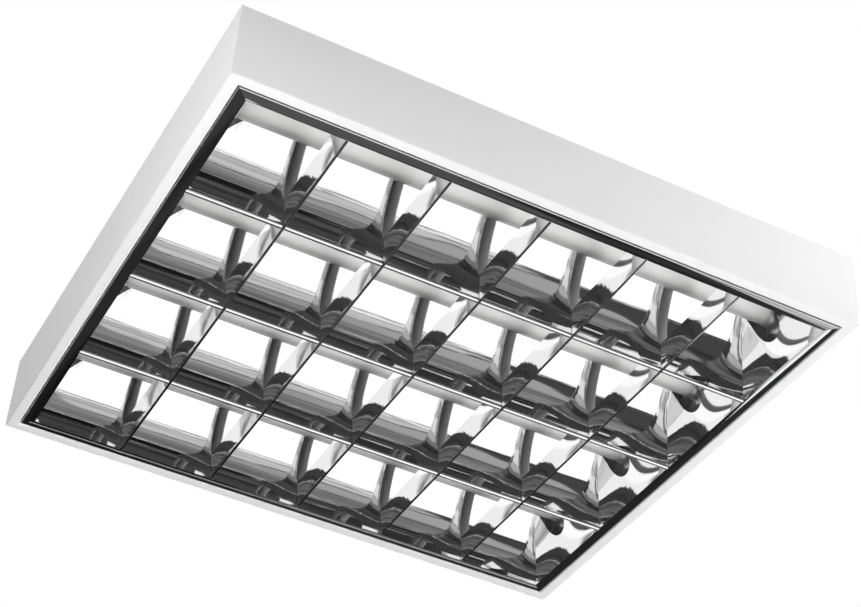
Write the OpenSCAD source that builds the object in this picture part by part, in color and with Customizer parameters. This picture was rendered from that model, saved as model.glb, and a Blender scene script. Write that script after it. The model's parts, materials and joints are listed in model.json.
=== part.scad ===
// Surface-mounted louvre light fixture: four tube lamps in curved mirror reflectors.
// The origin is the centre of the ceiling face. X runs along the lamps and Z points up.
// Heights named "_h" or "_level" that belong to the louvre count up from the rim plane.

/* [Housing] */
// Height of the housing from the rim to the ceiling
body_h = 83; // [80:1:95]
// Thickness of the housing's steel sheet
sheet_t = 1; // [0.7:0.1:1.4]
// Width of the white rim around the louvre
rim_w = 12; // [10:0.5:16]
// Height of the lip turned up along the rim's inner edge
lip_h = 4; // [2:0.5:6]
// Width of the end plate's flange under the ceiling sheet
flange_w = 14; // [12:1:20]

/* [Louvre] */
// Distance from one lamp row to the next
row_pitch = 136.3; // [125:0.1:150]
// Distance from one cross blade to the next
blade_pitch = 100.7; // [90:0.1:104]
// Thickness of the louvre's mirror sheet
louvre_t = 0.8; // [0.5:0.1:1]
// Width of the bottom face of a frame rail
rail_w = 10.6; // [9:0.1:16]
// Height of a rail's outer wall
rail_h = 8; // [5:0.5:9]
// Half width and radius of a row reflector's round bottom
vee_half = 3; // [2:0.5:5]
// Distance from the ceiling down to the reflectors' top edges
reflector_drop = 18; // [13:0.5:25]
// Room beside a lamp's axis, out to the reflectors' top edges
lamp_room = 17.5; // [16:0.5:24]
// How far an end reflector leans inwards at its top
end_lean = 32; // [24:1:40]
// Height of the lowest point of the notch that a lamp passes through
notch_level = 30; // [26:0.5:36]
// Height of the cross blades
blade_h = 25; // [18:0.5:28]
// Half width and radius of a cross blade's round bottom
blade_foot = 1; // [1:0.1:1.5]
// Half width of a cross blade's top
blade_top = 6; // [4:0.5:8]

/* [Lamps] */
// Length of a lamp between the faces of its caps
lamp_l = 589.8; // [560:0.1:620]
// Radius of a lamp's glass tube
tube_r = 13; // [12:0.1:13.4]
// Wall of a lamp's glass tube
tube_wall = 0.8; // [0.6:0.1:1.2]
// Distance from the ceiling down to the lamps' axes
lamp_drop = 23; // [21:0.5:27]
// Length of a lamp's metal cap
cap_l = 14; // [10:0.5:18]
// Wall of a lamp's metal cap
cap_wall = 0.5; // [0.3:0.1:0.8]
// Length of a contact pin
pin_l = 7; // [6:0.1:7.4]
// Radius of a contact pin
pin_r = 1.15; // [1:0.05:1.3]
// Distance between the two pins of a cap
pin_gap = 12.7; // [12:0.1:13.4]

/* [Lampholders] */
// Depth of a lampholder from the end plate to its face
holder_d = 23.8; // [20:0.1:30]
// Width of a lampholder
holder_w = 26; // [23:0.5:28]
// How far a lampholder reaches below the lamp's axis
holder_drop = 16; // [13:0.5:18]
// Radius of the rotor that turns with the lamp
rotor_r = 9; // [8.5:0.1:9.8]
// Thickness of the rotor
rotor_t = 8.5; // [8.3:0.1:10]

/* [Hinge and catches] */
// How far the louvre swings down, in degrees
swing_max = 80; // [40:1:80]
// How far the hangers slide out in a swing of one radian
radian_drop = 30; // [26:1:32]
// Radius of the hinge pins
hinge_r = 1.5; // [1.2:0.1:1.8]
// Half width of a hanger strap
strap_half = 3; // [2.5:0.1:3.4]
// Thickness of a hanger strap
strap_t = 2; // [1.5:0.1:2.4]
// Height of the hinge axis above the rim plane
hinge_level = 4.5; // [4.4:0.1:4.8]
// Level of the underside of the hanger guides
guide_level = 12; // [11.5:0.5:14]
// Height of the hanger guides, as a share of the room above them that the drop leaves
guide_share = 0.38; // [0.3:0.01:0.42]
// Width of the hanger guides
guide_w = 12; // [9:0.5:14]
// Thickness of the catches' spring leaves
leaf_t = 0.6; // [0.4:0.1:0.8]
// Height of the catches' spring leaves
leaf_h = 16; // [10:0.5:20]
// Height of the striker plate that each catch grips
striker_h = 22; // [18:0.5:24]

/* [Control gear] */
// Length of the ballast's cover
ballast_l = 230; // [180:1:260]
// Width of the ballast
ballast_w = 40; // [30:1:44]
// Height of the ballast's cover
ballast_h = 26; // [20:0.5:27]
// Length of the tab at each end of the ballast's base
tab_l = 30; // [26:1:34]
// Length of the mains terminal block
block_l = 24; // [20:1:30]
// Width of the mains terminal block
block_w = 32; // [26:1:36]
// Height of the mains terminal block
block_h = 17; // [13:0.5:20]

/* [Ceiling fixing] */
// Distance between the fixing holes along the lamps
fixing_x = 440; // [420:1:480]
// Radius of the fixing holes
fixing_r = 3; // [2.5:0.1:4]
// Radius of the bore through the cable grommet
cable_r = 6; // [4:0.5:8]

/* [Hidden] */
// Counts that the list of nodes follows
rows = 4;
columns = 6;
// Facets along a curved reflector, around a quarter of its bottom, and round holes and pins
steps = 12;
foot_steps = 4;
$fn = 48;
// Overrun of every cut past the face it opens
over = 1;
// Gap between pieces that lie side by side
gap = 0.3;
// Gap between the louvre's frame and the housing's lip
louvre_gap = 0.6;
// Radial running clearance of turning pieces
running = 0.05;
// Radial clearance of a screw or rivet in its hole
loose = 0.1;

// Rivets of the end plates: shank and head
rivet_r = 1.6;
rivet_head_r = 3.2;
rivet_head_t = 1;
rivets_y_share = [-0.82, -0.34, 0.34, 0.82];

// Screws of the control gear: shank, head and drive recess
screw_r = 2;
screw_head_r = 4;
screw_head_t = 2.4;
screw_recess_w = 0.9;
screw_recess_d = 1.1;
recess_share = 0.7;
// Distance from a tab's end to its screw
tab_screw_in = 8;

// Lampholder details: pin slot, contact cover and its groove
pin_slot_w = 3;
holder_cover_t = 2;
holder_cover_in = 3;
holder_groove = 0.6;
// Wall between the rotor and the back of its bore
rotor_back = 1.2;

// Ballast details
base_t = 1;
cover_t = 0.6;
board_t = 1.6;
board_in = 3;
board_drop = 5;
choke_size = [26, 24, 14];
choke_x_share = [-0.3, 0.02, 0.3];
can_r = 6;
can_l = 13;
can_x_share = [-0.14, 0.17];
terminal_size = [13, 30, 11];
terminal_way_r = 1.3;
terminal_ways = 4;
terminal_way_d = 6;

// Terminal block: distance from the ballast, poles, wire holes and clamp screws
block_gap = 22;
poles = 3;
pole_r = 2;
clamp_r = 1.5;
clamp_t = 2;
clamp_slot_w = 0.7;
clamp_slot_d = 0.8;
// Height of the poles, as a share of the block's height below the ceiling sheet
pole_share = 0.55;

// Earth screw, its ring terminal and the earth lead
earth_x_gap = 20;
earth_y = 26;
ring_r = 5;
ring_t = 0.8;
earth_r = 1.2;
earth_bend = 4;

// Cable grommet: flange and distance from the terminal block
grommet_wall = 4;
grommet_flange = 3;
grommet_t = 2.5;
grommet_gap = 44;

// Wires: lamp loom, single leads and supply leads
loom_r = 1.8;
trunk_r = 1.5;
lead_r = 0.8;
lead_split = 4;
supply_r = 1.1;
// Distance of the cross loom from the lampholders' faces
loom_in = 9;
// Distance of the looms from the ceiling sheet
loom_drop = 3;
// Where the looms leave the ballast's right terminals, and the left loom's way past the ballast
loom_y = 9;
loom_side = 4;
loom_turn = 3;
loom_bend = 5;

// Corner brackets and hinge lugs on the louvre frame
corner_arm = 34;
corner_in = 1;
corner_t = 1;
lug_t = 1.5;
lug_side = 0.3;
// Head at the top of each hanger strap
strap_head = 4;
strap_head_half = 5;
// Striker plates and the web of each catch
striker_t = 1;
striker_in = 8;
catch_level = 11;
catch_in = 18;
// Wall of a hanger guide past the strap
guide_wall = 2;

// Worked-out sizes
deg_per_rad = 180 / PI;
drop_max = radian_drop * swing_max / deg_per_rad;
guide_h = guide_share * (body_h - guide_level - drop_max);
reflector_h = body_h - reflector_drop;
lamp_level = body_h - lamp_drop;
frame_w = rim_w + louvre_gap + rail_w + louvre_t;
body_l = lamp_l + 2 * (gap + holder_d + sheet_t);
body_w = rows * row_pitch + 2 * (frame_w - vee_half);
cell_x = body_l / 2 - frame_w;
cell_y = body_w / 2 - frame_w;
inside_x = body_l / 2 - sheet_t;
inside_h = body_h - sheet_t;
vee_lean = row_pitch / 2 - vee_half - lamp_room;
blade_lean = blade_top - blade_foot;
rail_out_x = body_l / 2 - rim_w - louvre_gap;
rail_out_y = body_w / 2 - rim_w - louvre_gap;
row_y = [for (i = [0:rows - 1]) (i - (rows - 1) / 2) * row_pitch];
vee_y = [for (i = [0:rows - 2]) (i - (rows - 2) / 2) * row_pitch];
blade_x = [for (i = [0:columns - 2]) (i - (columns - 2) / 2) * blade_pitch];
hinge_x = rail_out_x - louvre_t - gap - strap_half;
face_x = inside_x - holder_d;
fixing_y = vee_y[len(vee_y) - 1] - vee_y[0];
base_l = ballast_l + 2 * tab_l;
block_x = -base_l / 2 - block_gap - block_l / 2;
grommet_x = block_x - grommet_gap;
loom_h = inside_h - loom_drop;
cross_x = face_x - loom_in;
gear_screw_x = base_l / 2 - tab_screw_in;
terminal_end = ballast_l / 2 + terminal_size[0];

// Placing and extruding

module from_rim(h = 0) translate([0, 0, h - body_h]) children();

module at_both_ends() {
    children();
    mirror([1, 0, 0]) children();
}

module along_x(l) rotate([90, 0, 90]) linear_extrude(l, center = true) children();

module along_y(l) rotate([90, 0, 0]) linear_extrude(l, center = true) children();

module rod_x(r, l) rotate([0, 90, 0]) cylinder(r = r, h = l);

module rod_y(r, l) rotate([-90, 0, 0]) cylinder(r = r, h = l);

// A quarter bend of a lead, about the origin and starting at the given turn, drawn in a little.
// The straight leads reach into it by the gap between pieces.
module elbow(bend, r, turn) rotate(turn) rotate_extrude(angle = 90) translate([bend, 0])
    circle(r = r - loose);

// A box from a corner, centred across Y
module mid_box(x, z, size) translate([x, -size[1] / 2, z]) cube(size);

// A strip of a frame, mitred at both ends, with its outer edge on the X axis
module mitred(half, w, t) linear_extrude(t) polygon([
    [-half, 0], [half, 0], [half - w, w], [w - half, w]
]);

// Curved sheets

// Points up a face that stands upright at its foot and leans over by "lean" at its top
function face(foot, lean, tall, first = 0) = [
    for (i = [first:steps]) [foot + lean * pow(i / steps, 2), tall * i / steps]
];

// Points down the back of that face, one sheet thickness behind it
function back(foot, lean, tall, t, last = 0) = [
    for (i = [steps:-1:last])
        let (slope = 2 * lean * i / steps / tall, along = sqrt(1 + slope * slope))
        [foot + lean * pow(i / steps, 2) - t / along, tall * i / steps + t * slope / along]
];

function flipped(points) = [
    for (i = [len(points) - 1:-1:0]) [-points[i][0], points[i][1]]
];

// Points around a quarter of a round bottom, starting after its lowest point or ending before it
function round_foot(r, level, order = [1:foot_steps]) = [
    for (i = order) let (turn = 90 * i / foot_steps) [r * sin(turn), level - r * cos(turn)]
];

// Outline of a folded sheet with two curved flanks and a narrow round bottom
function vee_outline(foot, lean, tall, t) = let (
    outer = concat(round_foot(foot, foot), face(foot, lean, tall, 1)),
    inner = concat(
        back(foot, lean, tall, t, 1), round_foot(foot - t, foot, [foot_steps:-1:1])
    )
) concat([[0, 0]], outer, inner, [[0, t]], flipped(inner), flipped(outer));

// Outline of the solid space between two mirrored faces, open below by "under"
function room_outline(foot, lean, tall, under) = let (
    half = concat([[foot, -under]], face(foot, lean, tall))
) concat(half, flipped(half));

module half_sheet(lean) polygon(concat(
    face(0, lean, reflector_h), back(0, lean, reflector_h, louvre_t)
));

// The slots that the cross blades pass through
module blade_slots() for (x = blade_x) translate([x, 0, 0]) along_y(body_w) polygon(
    room_outline(blade_foot + gap, blade_lean, blade_h + gap, over)
);

// Housing

module ceiling_holes() {
    for (x = [-fixing_x / 2, fixing_x / 2], y = [-fixing_y / 2, fixing_y / 2])
        translate([x, y, -sheet_t - over]) cylinder(r = fixing_r, h = sheet_t + 2 * over);
    for (x = [-gear_screw_x, gear_screw_x])
        translate([x, 0, -sheet_t - over]) cylinder(r = screw_r + loose, h = sheet_t + 2 * over);
    translate([block_x - earth_x_gap, earth_y, -sheet_t - over])
        cylinder(r = screw_r + loose, h = sheet_t + 2 * over);
    translate([grommet_x, 0, -sheet_t - over])
        cylinder(r = cable_r + grommet_wall, h = sheet_t + 2 * over);
    rivet_places() translate([0, 0, -sheet_t - over])
        cylinder(r = rivet_r + loose, h = sheet_t + 2 * over);
}

module rivet_places() at_both_ends() for (share = rivets_y_share)
    translate([inside_x - flange_w / 2, share * body_w / 2, 0]) children();

// One long side: the wall, its rim and the lip, with the rim mitred into the end plates
module long_side() translate([0, -body_w / 2, -body_h]) {
    translate([-inside_x, 0, 0]) cube([2 * inside_x, sheet_t, body_h]);
    intersection() {
        mitred(body_l / 2, rim_w, sheet_t);
        translate([-inside_x, 0, 0]) cube([2 * inside_x, rim_w, sheet_t]);
    }
    translate([0, rim_w - sheet_t, 0]) mitred(body_l / 2 - rim_w + sheet_t, sheet_t, lip_h);
}

module housing_pan() color("whitesmoke") {
    difference() {
        translate([-inside_x, -body_w / 2, -sheet_t]) cube([2 * inside_x, body_w, sheet_t]);
        ceiling_holes();
    }
    long_side();
    mirror([0, 1, 0]) long_side();
}

// The plate stands at the left end; its rim and lip lie between the mitres of the long sides
module end_plate() {
    translate([-body_l / 2, -body_w / 2, -body_h]) cube([sheet_t, body_w, body_h]);
    from_rim() rotate(-90) translate([0, -body_l / 2, 0]) {
        intersection() {
            mitred(body_w / 2, rim_w, sheet_t);
            translate([-body_w / 2, 0, 0]) cube([body_w, rim_w, sheet_t]);
        }
        translate([0, rim_w - sheet_t, 0]) mitred(body_w / 2 - rim_w + sheet_t, sheet_t, lip_h);
    }
    difference() {
        translate([-inside_x, sheet_t - body_w / 2, -2 * sheet_t])
            cube([flange_w, body_w - 2 * sheet_t, sheet_t]);
        rivet_places() translate([0, 0, -2 * sheet_t - over])
            cylinder(r = rivet_r + loose, h = sheet_t + 2 * over);
    }
}

module end_plate_left() color("whitesmoke") end_plate();

module end_plate_right() color("whitesmoke") mirror([1, 0, 0]) end_plate();

module end_plate_rivets() color("silver") rivet_places() {
    translate([0, 0, -2 * sheet_t]) cylinder(r = rivet_r, h = 2 * sheet_t);
    translate([0, 0, -2 * sheet_t - rivet_head_t]) cylinder(r = rivet_head_r, h = rivet_head_t);
}

// Lampholders: a block against the end plate with a bored face for the turning rotor

module lampholder(y) color("white") translate([0, y, -body_h]) difference() {
    mid_box(-inside_x, lamp_level - holder_drop,
        [holder_d, holder_w, inside_h - sheet_t - lamp_level + holder_drop]);
    translate([-face_x - rotor_t - rotor_back, 0, lamp_level])
        rod_x(rotor_r + running, rotor_t + rotor_back + over);
    mid_box(-face_x - rotor_t, lamp_level - holder_drop - over,
        [rotor_t + over, pin_slot_w, holder_drop + over]);
    for (side = [-1, 1]) translate([-inside_x + holder_cover_in, side * holder_w / 2, 0])
        mid_box(0, lamp_level - holder_drop + holder_cover_t,
            [holder_groove, 2 * holder_groove, holder_drop + rotor_r]);
}

module lampholder_right(y) mirror([1, 0, 0]) lampholder(y);

// Control gear under the ceiling sheet

module pan_screw() {
    cylinder(r = screw_r, h = sheet_t + base_t);
    difference() {
        translate([0, 0, -screw_head_t]) cylinder(r = screw_head_r, h = screw_head_t);
        for (turn = [0, 90]) rotate(turn) translate([0, 0, -screw_head_t]) cube(
            [2 * screw_head_r * recess_share, screw_recess_w, 2 * screw_recess_d], center = true);
    }
}
module ballast_base() color("silver") difference() {
    mid_box(-base_l / 2, -sheet_t - base_t, [base_l, ballast_w, base_t]);
    for (x = [-gear_screw_x, gear_screw_x]) translate([x, 0, -sheet_t - base_t - over])
        cylinder(r = screw_r + loose, h = base_t + 2 * over);
}

module ballast_cover() color("gainsboro") difference() {
    mid_box(-ballast_l / 2, -sheet_t - base_t - ballast_h, [ballast_l, ballast_w, ballast_h]);
    mid_box(cover_t - ballast_l / 2, cover_t - sheet_t - base_t - ballast_h,
        [ballast_l - 2 * cover_t, ballast_w - 2 * cover_t, ballast_h]);
}

module ballast_board() color("darkgreen") translate([0, 0, -sheet_t - base_t - board_drop]) {
    mid_box(board_in - ballast_l / 2, 0,
        [ballast_l - 2 * board_in, ballast_w - 2 * board_in, board_t]);
    for (share = choke_x_share) mid_box(share * ballast_l - choke_size[0] / 2, -choke_size[2],
        choke_size);
    for (share = can_x_share) translate([share * ballast_l, 0, -can_l])
        cylinder(r = can_r, h = can_l);
    for (x = [board_in - ballast_l / 2, ballast_l / 2 - 2 * board_in])
        mid_box(x, 0, [board_in, ballast_w / 2, board_drop]);
}

module ballast_terminals() color("ivory") at_both_ends() difference() {
    mid_box(ballast_l / 2, -sheet_t - base_t - terminal_size[2], terminal_size);
    for (i = [0:terminal_ways - 1]) translate([
        ballast_l / 2 + terminal_size[0] - terminal_way_d,
        (i - (terminal_ways - 1) / 2) * terminal_size[1] / terminal_ways,
        -sheet_t - base_t - terminal_size[2] / 2
    ]) rod_x(terminal_way_r, terminal_way_d + over);
}

module gear_screws() color("silver") {
    for (x = [-gear_screw_x, gear_screw_x]) translate([x, 0, -sheet_t - base_t]) pan_screw();
    translate([block_x - earth_x_gap, earth_y, -sheet_t - base_t]) pan_screw();
}

function pole_y(i) = (i - (poles - 1) / 2) * block_w / poles;

// Moulded block with a wire hole through each pole and two clamp screws for each wire
module terminal_block() color("ivory") difference() {
    mid_box(block_x - block_l / 2, -sheet_t - block_h, [block_l, block_w, block_h]);
    for (i = [0:poles - 1]) translate([block_x, pole_y(i), -sheet_t - block_h * pole_share]) {
        translate([-block_l / 2 - over, 0, 0]) rod_x(pole_r, block_l + 2 * over);
        for (x = [-block_l / 4, block_l / 4]) translate([x, 0, -block_h])
            cylinder(r = clamp_r + loose, h = block_h);
    }
}
module terminal_screws() color("silver")
    for (i = [0:poles - 1], x = [-block_l / 4, block_l / 4])
        translate([block_x + x, pole_y(i), -sheet_t - block_h * pole_share - pole_r - clamp_t])
            difference() {
                cylinder(r = clamp_r, h = clamp_t);
                cube([2 * clamp_r + over, clamp_slot_w, 2 * clamp_slot_d], center = true);
            }

// Green and yellow lead from the side of the block to the ring under the earth screw
module earth_lead() color("yellowgreen") translate([block_x - earth_x_gap, 0, -sheet_t]) {
    lead_y = pole_y(poles - 1);
    lead_end = earth_y - (ring_r + screw_head_r) / 2;
    translate([0, earth_y, -base_t]) difference() {
        cylinder(r = ring_r, h = ring_t);
        translate([0, 0, -over]) cylinder(r = screw_r + loose, h = ring_t + 2 * over);
    }
    translate([0, lead_y, -earth_r - gap]) {
        translate([earth_bend - gap, 0, 0])
            rod_x(earth_r, earth_x_gap - block_l / 2 - earth_bend + gap);
        translate([earth_bend, earth_bend, 0]) elbow(earth_bend, earth_r, 180);
        translate([0, earth_bend - gap, 0]) rod_y(earth_r, lead_end - lead_y - earth_bend + gap);
    }
}

module cable_grommet() color("dimgray") translate([grommet_x, 0, 0]) difference() {
    union() {
        translate([0, 0, -sheet_t - grommet_t])
            cylinder(r = cable_r + grommet_wall + grommet_flange, h = grommet_t);
        translate([0, 0, -sheet_t]) cylinder(r = cable_r + grommet_wall - loose, h = sheet_t);
    }
    translate([0, 0, -sheet_t - grommet_t - over])
        cylinder(r = cable_r, h = sheet_t + grommet_t + 2 * over);
}

// Loom across the left end, with two leads to each lampholder
module cross_loom() {
    translate([-cross_x, row_y[0] - lead_split, 0])
        rod_y(loom_r, row_y[rows - 1] - row_y[0] + 2 * lead_split);
    for (y = row_y, side = [-lead_split, lead_split])
        translate([-face_x, y + side, 0]) rod_x(lead_r, loom_in);
}

// The left loom turns back beside the ballast, from the terminals at its right end
module lamp_wires_left() color("white") from_rim(loom_h) {
    way_y = -ballast_w / 2 - loom_side;
    turn_x = terminal_end + loom_turn;
    cross_loom();
    translate([-cross_x, way_y, 0]) rod_x(trunk_r, cross_x + turn_x + gap);
    translate([turn_x, way_y + loom_bend, 0]) elbow(loom_bend, trunk_r, -90);
    translate([turn_x + loom_bend, way_y + loom_bend - gap, 0])
        rod_y(trunk_r, -loom_y - way_y - 2 * (loom_bend - gap));
    translate([turn_x, -loom_y - loom_bend, 0]) elbow(loom_bend, trunk_r, 0);
    translate([terminal_end, -loom_y, 0]) rod_x(trunk_r, loom_turn + gap);
}

module lamp_wires_right() color("white") from_rim(loom_h) {
    mirror([1, 0, 0]) cross_loom();
    translate([terminal_end, loom_y, 0]) rod_x(trunk_r, cross_x - terminal_end);
}

// Leads from the terminal block's poles to the ballast's terminals
module supply_wires() color("white") for (i = [0:poles - 1]) {
    from = block_x + block_l / 2 - pole_r;
    translate([from, pole_y(i), -sheet_t - block_h * pole_share])
        rod_x(supply_r, -terminal_end - from);
}

// Hanger guides on the left end plate, catches on the right one

module strap_places() for (y = [vee_y[0], vee_y[len(vee_y) - 1]]) translate([0, y, -body_h])
    children();

module hanger_guides() color("gray") strap_places() difference() {
    mid_box(-inside_x, guide_level,
        [inside_x - hinge_x + strap_half + gap + guide_wall, guide_w, guide_h]);
    mid_box(-hinge_x - strap_half - gap, guide_level - over,
        [2 * (strap_half + gap), strap_t + 2 * gap, guide_h + 2 * over]);
}

module louvre_catches() color("silver") strap_places() mirror([1, 0, 0]) {
    for (side = [0, 1]) mirror([0, side, 0])
        translate([-inside_x, striker_t / 2 + gap, catch_level]) cube([catch_in, leaf_t, leaf_h]);
    mid_box(-inside_x, catch_level + leaf_h,
        [catch_in, striker_t + 2 * (gap + leaf_t), leaf_t]);
}

module hanger_straps() color("silver") strap_places() difference() {
    head_level = guide_level + guide_h + drop_max + gap;
    translate([-hinge_x, 0, 0]) {
        translate([0, -strap_t / 2, hinge_level]) rod_y(strap_half, strap_t);
        mid_box(-strap_half, hinge_level, [2 * strap_half, strap_t, head_level - hinge_level]);
        mid_box(-strap_head_half, head_level, [2 * strap_head_half, strap_t, strap_head]);
    }
    translate([-hinge_x, -strap_t / 2 - over, hinge_level])
        rod_y(hinge_r + running, strap_t + 2 * over);
}

// Louvre frame: mitred rails, open where the hanger straps pass

module rail(half) {
    mitred(half, rail_w, louvre_t);
    mitred(half, louvre_t, rail_h);
}

module rail_near() color("dimgray") translate([0, -rail_out_y, -body_h]) rail(rail_out_x);

module rail_far() mirror([0, 1, 0]) rail_near();

module end_rail() color("dimgray") translate([-rail_out_x, 0, -body_h]) rotate(-90)
    rail(rail_out_y);

module rail_left() color("dimgray") difference() {
    end_rail();
    strap_places() mid_box(-rail_out_x - over, louvre_t,
        [louvre_t + 2 * over, strap_t + 2 * (gap + lug_t), rail_h]);
}

module rail_right() mirror([1, 0, 0]) end_rail();

// Reflectors

module side_reflector() color("silver") translate([0, 0, -body_h]) difference() {
    translate([0, -cell_y, 0]) along_x(2 * (cell_x + louvre_t)) half_sheet(vee_lean);
    blade_slots();
}

module side_reflector_near() side_reflector();

module side_reflector_far() mirror([0, 1, 0]) side_reflector();

module row_reflector(i) color("silver") translate([0, vee_y[i - 1], -body_h]) difference() {
    along_x(2 * (cell_x + louvre_t)) polygon(
        vee_outline(vee_half, vee_lean, reflector_h, louvre_t)
    );
    blade_slots();
}

// One end reflector: fitted between the row reflectors and notched for the lamp
module end_reflector() difference() {
    intersection() {
        translate([-cell_x, 0, 0]) along_y(row_pitch) half_sheet(end_lean);
        translate([-cell_x, 0, 0]) along_x(2 * (end_lean + rail_w)) polygon(
            room_outline(row_pitch / 2 - vee_half - gap, -vee_lean, reflector_h, 0)
        );
    }
    translate([-cell_x, 0, notch_level + lamp_room]) rod_x(lamp_room, end_lean + over);
    mid_box(-cell_x, notch_level + lamp_room,
        [end_lean + over, 2 * lamp_room, reflector_h - notch_level]);
}

module end_reflectors_left() color("silver") for (y = row_y) translate([0, y, -body_h])
    end_reflector();

module end_reflectors_right() mirror([1, 0, 0]) end_reflectors_left();

module cross_blade(i) color("silver") translate([blade_x[i - 1], 0, -body_h])
    along_y(2 * (cell_y - gap)) polygon(vee_outline(blade_foot, blade_lean, blade_h, louvre_t));

// Small steel pieces on the louvre frame

module corner_bracket() translate([-rail_out_x, -rail_out_y, louvre_t]) {
    inner = louvre_t + corner_in;
    wide = rail_w - louvre_t - 2 * corner_in;
    translate([inner, inner, 0]) cube([corner_arm, wide, corner_t]);
    translate([inner, inner, 0]) cube([wide, corner_arm, corner_t]);
}

module corner_brackets() color("gray") from_rim() at_both_ends() {
    corner_bracket();
    mirror([0, 1, 0]) corner_bracket();
}

// Two ears beside each hanger strap, standing on the left rail
module hinge_lugs() color("gray") strap_places() for (side = [0, 1]) mirror([0, side, 0])
    translate([-hinge_x, strap_t / 2 + lug_side, 0]) difference() {
        union() {
            translate([0, 0, hinge_level]) rod_y(strap_half, lug_t);
            translate([-strap_half, 0, louvre_t])
                cube([2 * strap_half, lug_t, hinge_level - louvre_t]);
        }
        translate([0, -over, hinge_level]) rod_y(hinge_r + running, lug_t + 2 * over);
    }

module hinge_pins() color("silver") strap_places() {
    reach = strap_t / 2 + lug_side + lug_t;
    translate([-hinge_x, -reach, hinge_level]) rod_y(hinge_r, 2 * reach);
}

module catch_strikers() color("gray") strap_places()
    mid_box(rail_out_x - louvre_t - gap - striker_in, louvre_t,
        [striker_in, striker_t, striker_h]);

// Lamps: glass tube, caps with pins, and the rotors that turn with them

module lamp_axis(i) translate([0, row_y[i - 1], lamp_level - body_h]) children();

module lamp_tube(i) color("white") lamp_axis(i) difference() {
    l = lamp_l - 2 * cap_wall;
    translate([-l / 2, 0, 0]) rod_x(tube_r, l);
    translate([-l / 2 - over, 0, 0]) rod_x(tube_r - tube_wall, l + 2 * over);
}

module lamp_caps(i) color("silver") lamp_axis(i) at_both_ends() {
    difference() {
        translate([-lamp_l / 2, 0, 0]) rod_x(tube_r + cap_wall, cap_l);
        translate([cap_wall - lamp_l / 2, 0, 0]) rod_x(tube_r, cap_l);
    }
    for (side = [-pin_gap / 2, pin_gap / 2])
        translate([-lamp_l / 2 - pin_l, side, 0]) rod_x(pin_r, pin_l);
}

module lamp_rotors(i) color("white") lamp_axis(i) at_both_ends() difference() {
    translate([-face_x - rotor_t, 0, 0]) rod_x(rotor_r, rotor_t);
    translate([-lamp_l / 2 - pin_l - running, -rotor_r - over, -pin_r - running])
        cube([pin_l + over, 2 * (rotor_r + over), 2 * (pin_r + running)]);
}

housing_pan();
end_plate_left();
end_plate_right();
end_plate_rivets();
lampholder(row_y[0]);  // lampholder_left_1
lampholder(row_y[1]);  // lampholder_left_2
lampholder(row_y[2]);  // lampholder_left_3
lampholder(row_y[3]);  // lampholder_left_4
lampholder_right(row_y[0]);  // lampholder_right_1
lampholder_right(row_y[1]);  // lampholder_right_2
lampholder_right(row_y[2]);  // lampholder_right_3
lampholder_right(row_y[3]);  // lampholder_right_4
ballast_base();
ballast_cover();
ballast_board();
ballast_terminals();
gear_screws();
terminal_block();
terminal_screws();
earth_lead();
cable_grommet();
lamp_wires_left();
lamp_wires_right();
supply_wires();
hanger_guides();
louvre_catches();
hanger_straps();
rail_near();
rail_far();
rail_left();
rail_right();
side_reflector_near();
side_reflector_far();
row_reflector(1);  // row_reflector_1
row_reflector(2);  // row_reflector_2
row_reflector(3);  // row_reflector_3
end_reflectors_left();
end_reflectors_right();
cross_blade(1);  // cross_blade_1
cross_blade(2);  // cross_blade_2
cross_blade(3);  // cross_blade_3
cross_blade(4);  // cross_blade_4
cross_blade(5);  // cross_blade_5
corner_brackets();
hinge_lugs();
hinge_pins();
catch_strikers();
lamp_tube(1);  // lamp_tube_1
lamp_tube(2);  // lamp_tube_2
lamp_tube(3);  // lamp_tube_3
lamp_tube(4);  // lamp_tube_4
lamp_caps(1);  // lamp_caps_1
lamp_caps(2);  // lamp_caps_2
lamp_caps(3);  // lamp_caps_3
lamp_caps(4);  // lamp_caps_4
lamp_rotors(1);  // lamp_rotors_1
lamp_rotors(2);  // lamp_rotors_2
lamp_rotors(3);  // lamp_rotors_3
lamp_rotors(4);  // lamp_rotors_4
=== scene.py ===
# %% [markdown]
# # A surface-mounted louvre light fixture
#
# This lesson dresses a finished engineering model of a ceiling light. The model already holds
# every piece at its real size and place, and says which pieces move together. The lesson adds
# what an engineering model lacks: smooth mirror sheets, folded edges, and the finish of every
# surface. Blender works in metres here, and the ceiling is the plane z = 0.

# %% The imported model
import json
import math

import bmesh
import bpy
from mathutils import Matrix, Vector


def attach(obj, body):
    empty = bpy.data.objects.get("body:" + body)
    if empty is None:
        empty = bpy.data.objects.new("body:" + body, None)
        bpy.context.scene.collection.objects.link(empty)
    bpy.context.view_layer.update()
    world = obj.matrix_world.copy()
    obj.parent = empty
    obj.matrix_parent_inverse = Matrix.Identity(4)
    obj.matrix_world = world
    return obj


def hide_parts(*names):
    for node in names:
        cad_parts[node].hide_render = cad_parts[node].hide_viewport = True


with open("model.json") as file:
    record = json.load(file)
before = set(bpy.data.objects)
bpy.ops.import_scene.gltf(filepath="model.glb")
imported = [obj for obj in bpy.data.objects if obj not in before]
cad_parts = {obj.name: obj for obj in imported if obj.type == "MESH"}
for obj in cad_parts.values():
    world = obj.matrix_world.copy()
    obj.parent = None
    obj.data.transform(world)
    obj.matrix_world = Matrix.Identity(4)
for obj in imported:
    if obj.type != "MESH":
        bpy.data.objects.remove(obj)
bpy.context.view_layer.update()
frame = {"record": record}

# %% [markdown]
# ## The camera
#
# The photograph looks up at the fixture from below one corner. Solving the perspective of the
# housing's corners gives the place of the eye, the directions of the view and the focal
# length. The shift moves the picture's centre a little, as a cropped photograph needs.

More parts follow.
